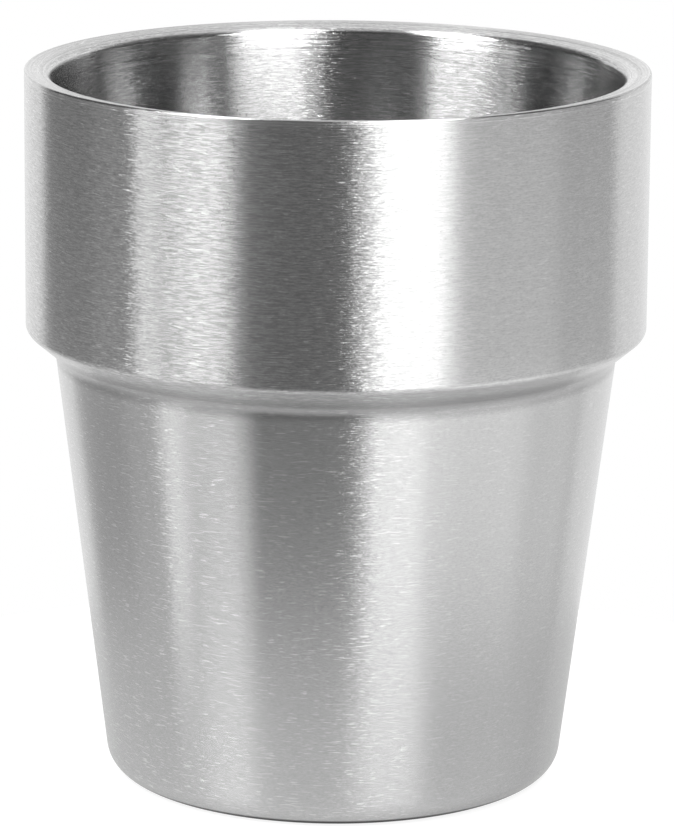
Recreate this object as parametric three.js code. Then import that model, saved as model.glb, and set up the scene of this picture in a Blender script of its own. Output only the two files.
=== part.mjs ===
// Double-wall stainless steel stacking cup, in millimetres, +Z up.
// The origin is on the cup's axis, in the plane of the table that it stands on.
// A pressed outer shell and a drawn liner meet at the rim, where a corner weld is ground to a fine edge.
// A recessed base plate closes the shell's foot and is edge welded to its turned-up flange.

import * as THREE from "three";

// Outside of the cup
const rimDiameter = 80; // across the straight collar
const cupHeight = 92.5;
const collarHeight = 33.5; // from the rim down to the collar's lower edge
const shoulderStep = 3.38; // how far the body stands in from the collar, at that edge
const shoulderSlope = THREE.MathUtils.degToRad(50); // of the shoulder's coned face, to the axis
const bodyTaper = THREE.MathUtils.degToRad(7.08); // of the body's wall, to the axis
const shoulderRadius = 1; // of the collar's lower edge
const coveRadius = 2.2; // between the shoulder's face and the body
const footRadius = 3.7;

// Lip, which falls towards the inside of the cup
const lipWidth = 3.2; // from the collar's face to the liner's face
const lipFall = THREE.MathUtils.degToRad(11);
const rimEdge = 0.25; // radius of the ground outer edge
const lipBend = 0.6; // inside radius of the liner's rolled edge

// Liner
const airGap = 2.5; // between the walls, at the level of the floor
const floorGap = 2.7; // between the base plate and the floor
const floorCornerRadius = 7;

// Foot and base plate
const footLand = 3.4; // width of the flat ring that the cup stands on
const curlBend = 0.4; // inside radius where the foot turns up into its flange
const flangeLap = 0.6; // how far the two flanges lie against each other
const baseBend = 0.6; // inside radius of the base plate's edge
const pressClearance = 0.05; // between the two flanges

// Sheet and welds
const shellSheet = 0.5;
const linerSheet = 0.5;
const baseSheet = 0.5;
const rimWeldLeg = 0.3; // how far the bead reaches along each sheet, from the corner between them
const baseWeldHeight = 0.4;

// Facets
const turnSegments = 60;
const arcSteps = 2; // a round stretch has twice this many facets
const beadFacets = 3;

const rim = rimDiameter / 2;
const shoulderLevel = cupHeight - collarHeight;
const bodyFoot = rim - shoulderStep - shoulderLevel * Math.tan(bodyTaper);

// Geometry of lines in the plane of a profile, where x is the radius and y the height

function lineFrom(x, y, angle) {
  return { point: new THREE.Vector2(x, y), along: new THREE.Vector2(Math.cos(angle), Math.sin(angle)) };
}

function leftOf(along) {
  return new THREE.Vector2(-along.y, along.x);
}

function shifted(line, toTheLeft) {
  return { point: line.point.clone().addScaledVector(leftOf(line.along), toTheLeft), along: line.along };
}

function crossing(a, b) {
  const between = b.point.clone().sub(a.point);
  const distance = between.cross(b.along) / a.along.cross(b.along);
  return a.point.clone().addScaledVector(a.along, distance);
}

// Centre of the arc that touches both lines, to the left of each, or to the right if the radius is negative
function filletCentre(a, b, radius) {
  return crossing(shifted(a, radius), shifted(b, radius));
}

const up = Math.PI / 2;
const tableLine = lineFrom(0, 0, 0);
const bodyLine = lineFrom(bodyFoot, 0, up - bodyTaper);
const shoulderLine = lineFrom(rim, shoulderLevel, up - shoulderSlope);
const collarLine = lineFrom(rim, 0, up);

// Foot: the body's rounded corner, the flat land, and the hole that the base plate closes
const footCentre = filletCentre(tableLine, bodyLine, footRadius);
const curlRadius = curlBend + shellSheet;
const opening = footCentre.x - footLand - curlRadius;
const flangeFace = opening - pressClearance - baseSheet;
const flangeEdge = curlRadius + baseWeldHeight;
const flangeTop = flangeEdge + flangeLap;
const baseRecess = flangeTop + baseBend;

// Liner: its floor stands over the base plate, and its wall runs from the floor to the lip
const floorHeight = baseRecess + baseSheet + floorGap + linerSheet;
const floorRadius = bodyFoot + floorHeight * Math.tan(bodyTaper) - shellSheet - airGap - linerSheet;
const mouthRadius = rim - lipWidth;
const linerTaper = Math.atan2(mouthRadius - floorRadius, cupHeight - floorHeight);
const linerLine = lineFrom(mouthRadius, cupHeight, -up - linerTaper);

// The lip's rolled edge is as large as the lip's width leaves room for beside the weld
const lipReach = (lipBend + linerSheet) * Math.tan((up - lipFall - linerTaper) / 2) * Math.cos(lipFall);
const roomForRoll = (lipWidth - shellSheet - 2 * rimWeldLeg) * Math.cos(linerTaper);
const lipRadius = (lipBend + linerSheet) * Math.min(1, roomForRoll / lipReach);

// The lip's sloping land lies between the ground edge and the rolled one
const landAngle = up + lipFall;
const rimCentre = new THREE.Vector2(rim - rimEdge, cupHeight - rimEdge);
const landStart = new THREE.Vector2(rimEdge, 0).rotateAround(new THREE.Vector2(), landAngle).add(rimCentre);
const landLine = lineFrom(landStart.x, landStart.y, Math.PI + lipFall);
const lipCentre = filletCentre(landLine, linerLine, lipRadius);

// The sheets stop short of the corner between them, which the weld fills
const weldCorner = crossing(shifted(landLine, linerSheet), shifted(collarLine, shellSheet));
const shellEdge = weldCorner.y - rimWeldLeg;
const linerEdge = weldCorner.clone().addScaledVector(landLine.along, rimWeldLeg);
const linerFaceEdge = linerEdge.clone().addScaledVector(leftOf(landLine.along), -linerSheet);

// Profile points along a path, without repeats
function pointsOf(path) {
  const repeat = 1e-6;
  return path.getPoints(arcSteps).filter((p, i, all) => i === 0 || p.distanceTo(all[i - 1]) > repeat);
}

// The closed outline of a sheet whose one face follows the points, with its thickness to their left,
// or to their right if it is negative
function sheetOutline(points, thickness) {
  const normals = points.slice(1).map((p, i) => leftOf(p.clone().sub(points[i]).normalize()));
  const offset = points.map((p, i) => {
    const before = normals[Math.max(i - 1, 0)];
    const after = normals[Math.min(i, normals.length - 1)];
    const mitre = before.clone().add(after).divideScalar(1 + before.dot(after));
    return p.clone().addScaledVector(mitre, thickness);
  });
  const [first, second] = thickness > 0 ? [points, offset] : [offset, points];
  return [...first, ...second.reverse()];
}

// A solid of revolution: an outline that leaves the axis is closed on itself
function turned(outline) {
  const onAxis = outline[0].x === 0;
  const closed = onAxis ? outline : [...outline, outline[0]];
  return new THREE.LatheGeometry(closed, turnSegments).rotateX(up);
}

// Outer shell: flange, foot, tapered body, stepped shoulder and straight collar
function outerShell() {
  const coveCentre = filletCentre(bodyLine, shoulderLine, -coveRadius);
  const edgeCentre = filletCentre(shoulderLine, collarLine, shoulderRadius);
  const face = new THREE.Path();
  face.moveTo(opening, flangeTop);
  face.lineTo(opening, curlRadius);
  face.absarc(opening + curlRadius, curlRadius, curlRadius, Math.PI, Math.PI + up, false);
  face.absarc(footCentre.x, footCentre.y, footRadius, -up, -bodyTaper, false);
  face.absarc(coveCentre.x, coveCentre.y, coveRadius, Math.PI - bodyTaper, Math.PI - shoulderSlope, true);
  face.absarc(edgeCentre.x, edgeCentre.y, shoulderRadius, -shoulderSlope, 0, false);
  face.lineTo(rim, shellEdge);
  return turned(sheetOutline(pointsOf(face), shellSheet));
}

// Liner: floor, rounded corner, tapered wall, rolled edge and the lip's land
function innerLiner() {
  const floorLine = lineFrom(0, floorHeight, 0);
  const wallLine = { point: linerLine.point, along: linerLine.along.clone().negate() };
  const cornerCentre = filletCentre(floorLine, wallLine, floorCornerRadius);
  const face = new THREE.Path();
  face.moveTo(0, floorHeight);
  face.lineTo(cornerCentre.x, floorHeight);
  face.absarc(cornerCentre.x, cornerCentre.y, floorCornerRadius, -up, -linerTaper, false);
  face.absarc(lipCentre.x, lipCentre.y, lipRadius, Math.PI - linerTaper, landAngle, true);
  face.lineTo(linerFaceEdge.x, linerFaceEdge.y);
  return turned(sheetOutline(pointsOf(face), -linerSheet));
}

// Base plate: a flat disc with a turned-down flange that presses into the shell's flange
function basePlate() {
  const face = new THREE.Path();
  face.moveTo(0, baseRecess);
  face.lineTo(flangeFace - baseBend, baseRecess);
  face.absarc(flangeFace - baseBend, flangeTop, baseBend, up, 0, true);
  face.lineTo(flangeFace, flangeEdge);
  return turned(sheetOutline(pointsOf(face), baseSheet));
}

// Rim weld: fills the corner between the shell's edge and the liner's, and is ground to the lip's outer edge
function rimWeld() {
  const face = new THREE.Path();
  face.moveTo(rim - shellSheet, shellEdge);
  face.lineTo(rim, shellEdge);
  face.absarc(rimCentre.x, rimCentre.y, rimEdge, 0, landAngle, false);
  face.lineTo(linerFaceEdge.x, linerFaceEdge.y);
  face.lineTo(linerEdge.x, linerEdge.y);
  return turned(pointsOf(face));
}

// Base weld: a bead under the edge of the base plate's flange, against the shell's flange
function baseWeld() {
  const beadWidth = opening - flangeFace;
  const bead = new THREE.EllipseCurve(opening, flangeEdge, beadWidth, baseWeldHeight, Math.PI, Math.PI + up);
  return turned([...bead.getPoints(beadFacets), new THREE.Vector2(opening, flangeEdge)]);
}

// Finishes: the walls are brushed around the cup, the lip's weld is polished and the base is left satin
function steel(shade, roughness) {
  const color = new THREE.Color(shade, shade, shade);
  return new THREE.MeshStandardMaterial({ color, roughness, metalness: 1 });
}

const cup = new THREE.Group();
function addPiece(name, geometry, material) {
  const piece = new THREE.Mesh(geometry, material);
  piece.name = name;
  cup.add(piece);
}

addPiece("outer_shell", outerShell(), steel(0.6, 0.32));
addPiece("inner_liner", innerLiner(), steel(0.58, 0.3));
addPiece("base_plate", basePlate(), steel(0.55, 0.42));
addPiece("rim_weld", rimWeld(), steel(0.64, 0.25));
addPiece("base_weld", baseWeld(), steel(0.5, 0.4));

export default cup;
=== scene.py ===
import math
import bpy
import numpy as np
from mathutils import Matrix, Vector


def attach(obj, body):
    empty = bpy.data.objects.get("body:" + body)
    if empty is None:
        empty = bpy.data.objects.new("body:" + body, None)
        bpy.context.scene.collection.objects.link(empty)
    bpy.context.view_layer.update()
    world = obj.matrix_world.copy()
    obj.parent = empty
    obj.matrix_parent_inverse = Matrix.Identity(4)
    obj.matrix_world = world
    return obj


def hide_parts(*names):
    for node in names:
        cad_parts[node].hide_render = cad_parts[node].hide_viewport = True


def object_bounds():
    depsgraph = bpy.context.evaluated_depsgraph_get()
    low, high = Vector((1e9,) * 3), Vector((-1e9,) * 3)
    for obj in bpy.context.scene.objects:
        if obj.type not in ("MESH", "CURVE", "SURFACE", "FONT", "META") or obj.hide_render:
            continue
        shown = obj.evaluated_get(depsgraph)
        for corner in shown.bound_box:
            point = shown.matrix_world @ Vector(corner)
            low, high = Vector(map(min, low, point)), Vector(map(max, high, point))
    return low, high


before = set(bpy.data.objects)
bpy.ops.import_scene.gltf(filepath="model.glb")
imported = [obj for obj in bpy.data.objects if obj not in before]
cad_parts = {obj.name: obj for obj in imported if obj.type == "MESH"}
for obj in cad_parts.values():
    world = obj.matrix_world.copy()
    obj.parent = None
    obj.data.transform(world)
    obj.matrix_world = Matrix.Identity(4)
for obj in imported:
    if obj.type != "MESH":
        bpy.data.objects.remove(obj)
cadBox = [list(corner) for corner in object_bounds()]
print("frame loaded:", sorted(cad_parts))

mm = 0.001
quarter = math.pi / 2
sheet = 0.5 * mm
rim = cadBox[1][0]
cupHeight = cadBox[1][2]


# Profiles are complex arrays, radius + 1j * height, with the metal on the left of the way they run

def unit(angle):
    return complex(math.cos(angle), math.sin(angle))


def arc(centre, radius, start, end, steps=14):
    # points of a circle about the centre, from one angle to the other
    return centre + radius * np.exp(1j * np.linspace(start, end, steps))


def joined(*runs):
    # runs of points one after the other, with points every few millimetres on the straights between them
    line = [np.atleast_1d(runs[0])]
    for following in map(np.atleast_1d, runs[1:]):
        start, end = line[-1][-1], following[0]
        count = max(1, math.ceil(abs(end - start) / (3 * mm)))
        line.append(start + (end - start) * np.arange(1, count) / count)
        line.append(following)
    return np.concatenate(line)


def crossing(pointA, wayA, pointB, wayB):
    # where two lines meet, each given by a point and a unit direction
    return pointA + wayA * ((pointB - pointA) * wayB.conjugate()).imag / (wayA * wayB.conjugate()).imag


def filletCentre(pointA, wayA, pointB, wayB, radius):
    # centre of the arc that touches both lines, to the left of each
    return crossing(pointA + 1j * wayA * radius, wayA, pointB + 1j * wayB * radius, wayB)


def sheetOutline(face, thickness):
    # the face and, set off from it along its left normal, the other side of the sheet, run back again
    way = np.diff(face) / np.abs(np.diff(face))
    before = np.concatenate([way[:1], way])
    after = np.concatenate([way, way[-1:]])
    other = face + thickness * 1j * (before + after) / (1 + (before * after.conjugate()).real)
    return np.concatenate([face, other[::-1]]) if thickness > 0 else np.concatenate([other, face[::-1]])


def revolved(name, outline, turns=256):
    # a closed outline carried round the axis: x = r cos a, y = r sin a, with one vertex for a point on the
    # axis; the point attribute "run" is the length along the outline
    run = np.concatenate([[0], np.cumsum(np.abs(np.diff(outline)))])
    onAxis = outline.real < 1e-9
    ring = outline[~onAxis]
    angle = np.arange(turns) * 2 * np.pi / turns
    x = np.outer(ring.real, np.cos(angle))
    y = np.outer(ring.real, np.sin(angle))
    z = np.repeat(ring.imag[:, None], turns, 1)
    points = np.stack([x, y, z], -1).reshape(-1, 3)
    runs = np.repeat(run[~onAxis], turns)
    rows = np.arange(len(ring) * turns).reshape(len(ring), turns)
    lower = rows[:-1] if onAxis.any() else rows
    upper = rows[1:] if onAxis.any() else np.roll(rows, -1, 0)
    faces = np.stack([lower, np.roll(lower, -1, 1), np.roll(upper, -1, 1), upper], -1).reshape(-1, 4).tolist()
    if onAxis.any():
        poles = np.stack([np.zeros(2), np.zeros(2), outline[onAxis].imag], -1)
        firstFan = np.stack([np.full(turns, len(points)), np.roll(rows[0], -1), rows[0]], -1)
        lastFan = np.stack([np.full(turns, len(points) + 1), rows[-1], np.roll(rows[-1], -1)], -1)
        faces += firstFan.tolist() + lastFan.tolist()
        points = np.concatenate([points, poles])
        runs = np.concatenate([runs, run[onAxis]])
    mesh = bpy.data.meshes.new(name)
    mesh.from_pydata(points, [], faces)
    mesh.attributes.new("run", "FLOAT", "POINT").data.foreach_set("value", runs.astype(np.float32))
    mesh.shade_smooth()
    mesh.set_sharp_from_angle(angle=math.radians(50))
    piece = bpy.data.objects.new(name, mesh)
    bpy.context.scene.collection.objects.link(piece)
    return piece


# Shader graph: a socket that takes part in sums, and one method for every other node

class Socket:
    def __init__(self, tree, socket):
        self.tree = tree
        self.socket = socket

    @staticmethod
    def node(tree, kind, settings=None, inputs=None, outputs=(0,)):
        made = tree.nodes.new(kind)
        for key, value in (settings or {}).items():
            setattr(made, key, value)
        for key, value in (inputs or {}).items():
            if isinstance(value, Socket):
                tree.links.new(value.socket, made.inputs[key])
            else:
                made.inputs[key].default_value = value
        found = [Socket(tree, made.outputs[key]) for key in outputs]
        return found[0] if len(found) == 1 else found

    def math(self, operation, first, second):
        return Socket.node(self.tree, "ShaderNodeMath", {"operation": operation}, {0: first, 1: second})

    def __add__(self, other):
        return self.math("ADD", self, other)

    __radd__ = __add__

    def __mul__(self, other):
        return self.math("MULTIPLY", self, other)

    __rmul__ = __mul__

    def __sub__(self, other):
        return self.math("SUBTRACT", self, other)

    def __rsub__(self, other):
        return self.math("SUBTRACT", other, self)

    def smooth(self, low, high):
        # 0 below low, 1 above high, with a soft step between
        limits = {"Value": self, "From Min": low, "From Max": high, "To Min": 0.0, "To Max": 1.0}
        return Socket.node(self.tree, "ShaderNodeMapRange", {"interpolation_type": "SMOOTHSTEP"}, limits)

    def between(self, low, high, soft):
        # 1 from low to high and 0 outside, with soft ends
        return self.smooth(low - soft, low + soft) * (1.0 - self.smooth(high - soft, high + soft))

    def vector(self, operation, other):
        return Socket.node(self.tree, "ShaderNodeVectorMath", {"operation": operation}, {0: self, 1: other})

    def scaled(self, factor):
        inputs = {0: self, "Scale": factor}
        return Socket.node(self.tree, "ShaderNodeVectorMath", {"operation": "SCALE"}, inputs)

    def grey(self):
        inputs = {"Red": self, "Green": self, "Blue": self}
        return Socket.node(self.tree, "ShaderNodeCombineColor", inputs=inputs)


brush = {
    # spots a metre round the cup and across the brush lines, and detail
    "streak": (650.0, 6200.0, 1.0),
    "grain": (2400.0, 6500.0, 1.0),
    "scratch": (700.0, 7000.0, 0.0),
    "line": (10.0, 5500.0, 1.0),
    "speck": (5200.0, 5200.0, 0.0),
    # noise levels over which a streak, a scratch or a fleck comes up
    "streakRise": (0.35, 0.65), "scratchRise": (0.67, 0.75), "fleckRise": (0.68, 0.76),
    # how far they lean, and how much lighter a scratch is
    "scratchLean": 0.15, "fleckLean": 0.2, "lineLean": 0.15, "scratchTone": 0.25,
    # depth of the streaks below deepFrom, width of the fade to the side and rise of the turned lines
    "shallow": 0.2, "sideWidth": 16 * mm, "lineRise": 4 * mm,
    "roughSwing": 0.2,
}


def brushNoise(tree, x, y, run, around, across, detail):
    # noise stretched along the brush lines, as a level and as a vector about 0
    stretched = {"X": x * around, "Y": y * around, "Z": run * across}
    vector = Socket.node(tree, "ShaderNodeCombineXYZ", inputs=stretched)
    settings = {"Vector": vector, "Scale": 1.0, "Detail": detail, "Roughness": 0.55}
    level, colour = Socket.node(tree, "ShaderNodeTexNoise", inputs=settings, outputs=("Fac", "Color"))
    return level, colour.vector("SUBTRACT", (0.5, 0.5, 0.5))


def brushedSteel(name, steel):
    # brush lines run round the cup; each streak and speck has its own tone and leans its own way.
    # streaks have their full depth above deepFrom, and sideFade makes them shallower on the cup's +X side
    material = bpy.data.materials.new(name)
    material.use_nodes = True
    tree = material.node_tree
    tree.nodes.clear()
    point = Socket.node(tree, "ShaderNodeTexCoord", outputs=("Object",))
    x, y, z = Socket.node(tree, "ShaderNodeSeparateXYZ", inputs={0: point}, outputs=("X", "Y", "Z"))
    run = Socket.node(tree, "ShaderNodeAttribute", {"attribute_name": "run"}, outputs=("Fac",))
    streak, streakLean = brushNoise(tree, x, y, run, *brush["streak"])
    grain, grainLean = brushNoise(tree, x, y, run, *brush["grain"])
    scratch, scratchLean = brushNoise(tree, x, y, run, *brush["scratch"])
    line, lineLean = brushNoise(tree, x, y, run, *brush["line"])
    speck, speckLean = brushNoise(tree, x, y, z, *brush["speck"])

    # sparse bright scratches and flecks, and long turned lines near the lip
    side = 1.0 - x.smooth(0.0, brush["sideWidth"]) * steel["sideFade"]
    deep = z.smooth(steel["deepFrom"] - mm, steel["deepFrom"] + mm)
    depth = (deep * (1 - brush["shallow"]) + brush["shallow"]) * side
    bright = scratch.smooth(*brush["scratchRise"]) * side
    fleck = speck.smooth(*brush["fleckRise"])
    turned = z.smooth(steel["linesFrom"], steel["linesFrom"] + brush["lineRise"]) * steel["lines"]
    facing = Socket.node(tree, "ShaderNodeNewGeometry", outputs=("Normal",))
    leaning = facing.vector("ADD", streakLean.scaled(2 * steel["streakTilt"]))
    leaning = leaning.vector("ADD", grainLean.scaled(2 * steel["grainTilt"]))
    leaning = leaning.vector("ADD", scratchLean.scaled(bright * brush["scratchLean"]))
    leaning = leaning.vector("ADD", speckLean.scaled(fleck * brush["fleckLean"]))
    leaning = leaning.vector("ADD", lineLean.scaled(turned * brush["lineLean"]))
    normal = leaning.vector("NORMALIZE", (0, 0, 0))

    swing = (streak.smooth(*brush["streakRise"]) - 0.5) * depth * (2 * steel["streakTone"])
    swing = swing + (grain - 0.5) * (depth * 0.5 + 0.5) * (2 * steel["grainTone"])
    swing = swing + bright * brush["scratchTone"] + (line - 0.5) * turned
    tone = (swing + 1.0) * steel["tone"]
    # painted light: each listed band scales the tone, below 1 a painted shade and above 1 a painted highlight
    for low, high, soft, paintedLevel in steel["paintedLight"]:
        tone = tone * (1.0 - z.between(low, high, soft) * (1 - paintedLevel))
    roughness = ((streak - 0.5) * brush["roughSwing"] + 1.0) * steel["roughness"]
    # the lobe is wide across the brush lines and narrow along them
    metal = {
        "Base Color": tone.grey(), "Metallic": 1.0, "Roughness": roughness, "Normal": normal,
        "Anisotropic": steel["anisotropy"], "Anisotropic Rotation": 0.25,
    }
    shader = Socket.node(tree, "ShaderNodeBsdfPrincipled", inputs=metal)
    Socket.node(tree, "ShaderNodeOutputMaterial", inputs={"Surface": shader}, outputs=())
    return material


def dress(name, node, outline, steel):
    piece = revolved(name, outline)
    piece.data.materials.append(brushedSteel(name + "Steel", steel))
    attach(piece, "root")
    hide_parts(node)
    print("made", name, len(piece.data.polygons), "faces")


# Rim weld: fills the corner between the two sheets and is ground to the lip's outer edge

weld = {
    "edge": 0.25 * mm, "leg": 0.3 * mm, "lipFall": math.radians(11),
    "steel": {
        "tone": 0.57, "roughness": 0.26, "anisotropy": 0.9, "streakTilt": 0.03, "grainTilt": 0.02,
        "streakTone": 0.04, "grainTone": 0.1, "deepFrom": 0.0, "sideFade": 0.0,
        "lines": 1.0, "linesFrom": cupHeight - 6 * mm, "paintedLight": [],
    },
}
landAngle = quarter + weld["lipFall"]
landWay = unit(landAngle + quarter)
rimCentre = complex(rim - weld["edge"], cupHeight - weld["edge"])
ground = arc(rimCentre, weld["edge"], 0, landAngle)
landStart = ground[-1]
weldCorner = crossing(landStart + 1j * landWay * sheet, landWay, complex(rim - sheet, 0), 1j)
shellEdge = weldCorner.imag - weld["leg"]
linerEdge = weldCorner + landWay * weld["leg"]
linerFaceEdge = linerEdge - 1j * landWay * sheet
weldFace = joined(complex(rim - sheet, shellEdge), complex(rim, shellEdge), ground, linerFaceEdge)
dress("rimWeld", "rim_weld", np.append(weldFace, linerEdge), weld["steel"])

# Outer shell: flange, curl, foot, body, cove, shoulder and collar, tangent to each other

shell = {
    "taper": math.radians(7.08), "collarHeight": 33.5 * mm, "shoulderStep": 3.38 * mm,
    "shoulderSlope": math.radians(50), "shoulderRadius": 1 * mm, "coveRadius": 2.2 * mm,
    "footRadius": 3.7 * mm, "footLand": 3.4 * mm, "curlRadius": 0.9 * mm, "flangeTop": 1.9 * mm,
    "steel": {
        "tone": 0.55, "roughness": 0.25, "anisotropy": 0.97, "streakTilt": 0.014, "grainTilt": 0.036,
        "streakTone": 0.12, "grainTone": 0.24, "deepFrom": 57 * mm, "sideFade": 0.6,
        "lines": 0.0, "linesFrom": cupHeight,
        # from, to, soft edge and tone of the painted bands: painted shade as a dark line at the foot's edge,
        # in place of the contact shadow where it meets the table, and painted shade in the cove
        "paintedLight": [(0.1 * mm, 0.85 * mm, 0.2 * mm, 0.02), (54.5 * mm, 57.4 * mm, 0.6 * mm, 0.76)],
    },
}
shoulder = complex(rim, cupHeight - shell["collarHeight"])
shoulderWay = unit(quarter - shell["shoulderSlope"])
bodyFoot = rim - shell["shoulderStep"] - shoulder.imag * math.tan(shell["taper"])
bodyWay = unit(quarter - shell["taper"])
footCentre = filletCentre(0j, 1 + 0j, bodyFoot + 0j, bodyWay, shell["footRadius"])
coveCentre = filletCentre(bodyFoot + 0j, bodyWay, shoulder, shoulderWay, -shell["coveRadius"])
edgeCentre = filletCentre(shoulder, shoulderWay, shoulder, 1j, shell["shoulderRadius"])
opening = footCentre.real - shell["footLand"] - shell["curlRadius"]
curlCentre = complex(opening + shell["curlRadius"], shell["curlRadius"])
curl = arc(curlCentre, shell["curlRadius"], math.pi, 3 * quarter)
foot = arc(footCentre, shell["footRadius"], -quarter, -shell["taper"], 24)
cove = arc(coveCentre, shell["coveRadius"], math.pi - shell["taper"], math.pi - shell["shoulderSlope"])
edge = arc(edgeCentre, shell["shoulderRadius"], -shell["shoulderSlope"], 0)
shellFace = joined(complex(opening, shell["flangeTop"]), curl, foot, cove, edge, complex(rim, shellEdge))
dress("outerShell", "outer_shell", sheetOutline(shellFace, sheet), shell["steel"])

# Base plate: flat disc, bend and turned-down flange inside the shell's flange

plate = {
    "lap": 0.6 * mm, "bend": 0.6 * mm, "clearance": 0.05 * mm,
    "steel": {
        "tone": 0.5, "roughness": 0.36, "anisotropy": 0.7, "streakTilt": 0.06, "grainTilt": 0.05,
        "streakTone": 0.08, "grainTone": 0.2, "deepFrom": 0.0, "sideFade": 0.0,
        "lines": 0.1, "linesFrom": 0.0, "paintedLight": [],
    },
}
flangeFace = opening - plate["clearance"] - sheet
flangeEdge = shell["flangeTop"] - plate["lap"]
baseRecess = shell["flangeTop"] + plate["bend"]
bend = arc(complex(flangeFace - plate["bend"], shell["flangeTop"]), plate["bend"], quarter, 0)
plateFace = joined(complex(0, baseRecess), bend, complex(flangeFace, flangeEdge))
dress("basePlate", "base_plate", sheetOutline(plateFace, sheet), plate["steel"])

# Base weld: a quarter of an ellipse under the plate's edge, from the plate's flange to the shell's

bead = {
    "height": 0.4 * mm,
    "steel": {
        "tone": 0.44, "roughness": 0.42, "anisotropy": 0.3, "streakTilt": 0.1, "grainTilt": 0.08,
        "streakTone": 0.08, "grainTone": 0.2, "deepFrom": 0.0, "sideFade": 0.0,
        "lines": 0.0, "linesFrom": cupHeight, "paintedLight": [],
    },
}
sweep = np.linspace(math.pi, 3 * quarter, 13)
beadCorner = complex(opening, flangeEdge)
beadFace = beadCorner + (opening - flangeFace) * np.cos(sweep) + 1j * bead["height"] * np.sin(sweep)
dress("baseWeld", "base_weld", np.append(beadFace, beadCorner), bead["steel"])

# Liner: floor, corner, wall, rolled edge and the lip's land, which stops short of the corner weld

liner = {
    "airGap": 2.5 * mm, "floorGap": 2.7 * mm, "floorCorner": 7 * mm,
    "lipWidth": 3.2 * mm, "lipRadius": 1.1 * mm,
    "steel": {
        "tone": 0.4, "roughness": 0.23, "anisotropy": 0.96, "streakTilt": 0.02, "grainTilt": 0.03,
        "streakTone": 0.1, "grainTone": 0.25, "deepFrom": 0.0, "sideFade": 0.0,
        "lines": 1.0, "linesFrom": cupHeight - 6 * mm,
        # painted highlight: the lip's land is painted lighter
        "paintedLight": [(cupHeight - 1.1 * mm, cupHeight + mm, 0.3 * mm, 1.35)],
    },
}
floorHeight = baseRecess + liner["floorGap"] + 2 * sheet
floorRadius = bodyFoot + floorHeight * math.tan(shell["taper"]) - liner["airGap"] - 2 * sheet
mouth = complex(rim - liner["lipWidth"], cupHeight)
linerTaper = math.atan2(mouth.real - floorRadius, cupHeight - floorHeight)
wallWay = unit(quarter - linerTaper)
cornerCentre = filletCentre(complex(0, floorHeight), 1 + 0j, mouth, wallWay, liner["floorCorner"])
lipCentre = filletCentre(landStart, landWay, mouth, -wallWay, liner["lipRadius"])
corner = arc(cornerCentre, liner["floorCorner"], -quarter, -linerTaper, 20)
roll = arc(lipCentre, liner["lipRadius"], math.pi - linerTaper, landAngle)
linerFace = joined(complex(0, floorHeight), corner, roll, linerFaceEdge)
dress("innerLiner", "inner_liner", sheetOutline(linerFace, -sheet), liner["steel"])


# Studio: what each direction round the cup sends; 0 degrees is the camera's side, + to its right

studio = {
    # from, to and soft edge in degrees; levels below the table's edge, level with the cup, and above it
    "boxes": {
        "sweepLeft": (-200, -134, 4, (0.8, 1.0, 0.9)),
        "leftDark": (-134, -101, 3, (0.6, 0.02, 0.1)),
        "leftFloor": (-101, -79, 3, (0.74, 0.04, 0.1)),
        "leftBoxSide": (-79, -68.5, 1.5, (1.4, 1.0, 0.1)),
        "leftBox": (-68.5, -44, 2, (0.66, 0.25, 0.3)),
        "leftBoxTop": (-69.5, -41, 1.5, (0.0, 0.0, 13.5)),
        "leftEdge": (-44, -36, 4, (0.65, 0.25, 0.05)),
        "darkFront": (-33, 6, 6, (0.27, 0.1, 0.08)),
        "keyEdge": (7, 14, 4, (0.25, 1.3, 3.0)),
        "keyBox": (14, 42, 5, (1.16, 2.0, 0.0)),
        "keyTop": (15, 47.5, 2, (0.0, 0.0, 9.8)),
        "rightFloor": (44, 90, 5, (1.36, 0.2, 0.1)),
        "rightSide": (90, 121, 5, (1.12, 0.16, 0.12)),
        "sweepRight": (121, 200, 5, (0.85, 1.0, 0.9)),
    },
    "heights": (-10, 18, 58),  # degrees, where one level gives way to the next, and the last to the ceiling
    "blend": 7,
    "ceiling": 1.0,
    "backdrop": (-141, 127, 4),  # its ends and soft edge, in degrees
}


def raysSeen(tree):
    # 1 for the camera's rays, and 1 for those that steel mirrors or glass lets through
    rays = ("Is Camera Ray", "Is Glossy Ray", "Is Transmission Ray")
    seen, mirrored, through = Socket.node(tree, "ShaderNodeLightPath", outputs=rays)
    return seen, mirrored.math("MAXIMUM", mirrored, through)


def studioWorld():
    world = bpy.data.worlds.new("studio")
    world.use_nodes = True
    tree = world.node_tree
    tree.nodes.clear()
    way = Socket.node(tree, "ShaderNodeTexCoord", outputs=("Generated",))
    x, y, z = Socket.node(tree, "ShaderNodeSeparateXYZ", inputs={0: way}, outputs=("X", "Y", "Z"))
    azimuth = x.math("ARCTAN2", x, 0.0 - y) * (180 / math.pi)
    height = z.math("ARCSINE", z, 0.0) * (180 / math.pi)
    above = [height.smooth(limit - studio["blend"], limit + studio["blend"]) for limit in studio["heights"]]
    level = above[2] * studio["ceiling"]
    for start, end, soft, (low, middle, high) in studio["boxes"].values():
        bright = low + above[0] * (middle - low) + above[1] * (high - middle) - above[2] * high
        level = level + azimuth.between(start, end, soft) * bright
    # the backdrop behind the cup is white to the camera, in the steel and through glass;
    # the camera sees white in place of the boxes too
    seen, mirrored = raysSeen(tree)
    white = seen + mirrored * (1.0 - azimuth.between(*studio["backdrop"]))
    level = level * (1.0 - white) + white
    light = Socket.node(tree, "ShaderNodeBackground", inputs={"Color": level.grey(), "Strength": 1.0})
    Socket.node(tree, "ShaderNodeOutputWorld", inputs={"Surface": light}, outputs=())
    bpy.context.scene.world = world


table = {"radius": 0.085, "clear": 0.02 * mm, "tone": 0.22, "white": 0.85, "mirrored": 0.49}


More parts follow.
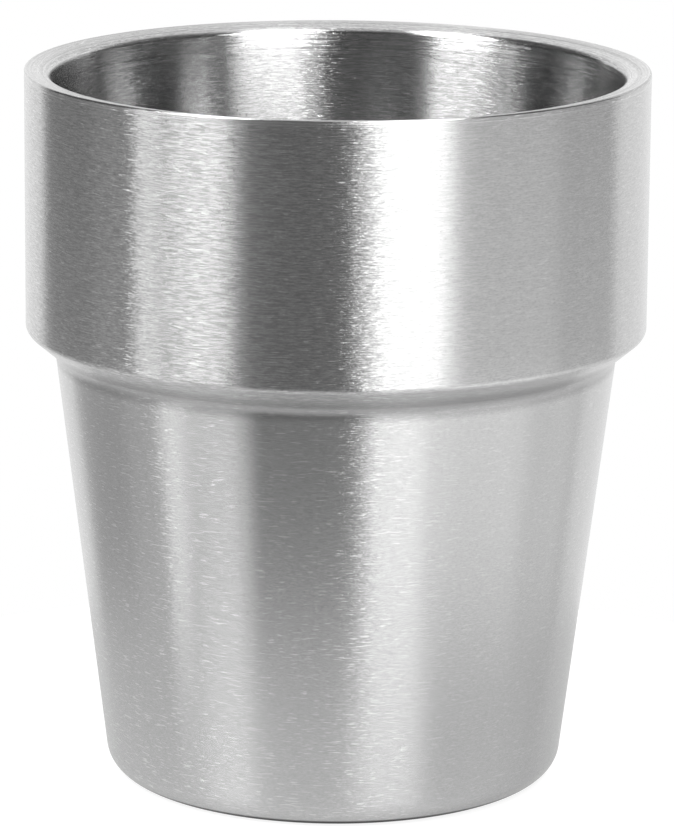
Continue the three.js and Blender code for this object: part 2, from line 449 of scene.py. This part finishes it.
def tableTop():
    # a round pale table: rings of r from 0 to its radius, x = r cos a, y = r sin a;
    # the camera sees it lifted to white, and the steel mirrors a weaker lift
    turns, rings = 128, 12
    radius = np.linspace(0, table["radius"], rings + 1)[1:]
    angle = np.arange(turns) * 2 * np.pi / turns
    x, y = np.outer(radius, np.cos(angle)), np.outer(radius, np.sin(angle))
    points = np.stack([x, y, np.zeros_like(x)], -1)
    rows = np.arange(rings * turns).reshape(rings, turns)
    inner, outer = rows[:-1], rows[1:]
    quads = np.stack([inner, outer, np.roll(outer, -1, 1), np.roll(inner, -1, 1)], -1).reshape(-1, 4)
    mesh = bpy.data.meshes.new("table")
    mesh.from_pydata(points.reshape(-1, 3), [], quads.tolist() + [rows[0].tolist()])
    material = bpy.data.materials.new("paleTable")
    material.use_nodes = True
    tree = material.node_tree
    tree.nodes.clear()
    matt = Socket.node(tree, "ShaderNodeBsdfDiffuse", inputs={"Color": (table["tone"],) * 3 + (1,)})
    seen, mirrored = raysSeen(tree)
    white = seen * table["white"] + mirrored * table["mirrored"]
    lift = Socket.node(tree, "ShaderNodeEmission", inputs={"Color": white.grey(), "Strength": 1.0})
    both = Socket.node(tree, "ShaderNodeAddShader", inputs={0: matt, 1: lift})
    Socket.node(tree, "ShaderNodeOutputMaterial", inputs={"Surface": both}, outputs=())
    mesh.materials.append(material)
    top = bpy.data.objects.new("table", mesh)
    top.location.z = -table["clear"]
    bpy.context.scene.collection.objects.link(top)


# Camera: looks along +Y, a little down

view = {
    "distance": 0.65, "elevation": math.radians(13.22), "aimHeight": 46.4 * mm, "aside": 0.21 * mm,
    "roll": 0.0075, "lens": 215.3, "sensor": 36.0,
}


def photoCamera():
    data = bpy.data.cameras.new("camera")
    data.sensor_fit = "VERTICAL"
    data.sensor_height = view["sensor"]
    data.lens = view["lens"]
    data.clip_end = 10
    camera = bpy.data.objects.new("camera", data)
    back = view["distance"] * math.cos(view["elevation"])
    rise = view["distance"] * math.sin(view["elevation"])
    camera.location = (view["aside"], -back, view["aimHeight"] + rise)
    camera.rotation_euler = (quarter - view["elevation"], 0, 0)
    camera.rotation_euler.rotate_axis("Z", view["roll"])
    bpy.context.scene.collection.objects.link(camera)
    bpy.context.scene.camera = camera


studioWorld()
tableTop()
photoCamera()
bpy.context.scene.view_settings.view_transform = "Standard"
print("studio, table and camera set")
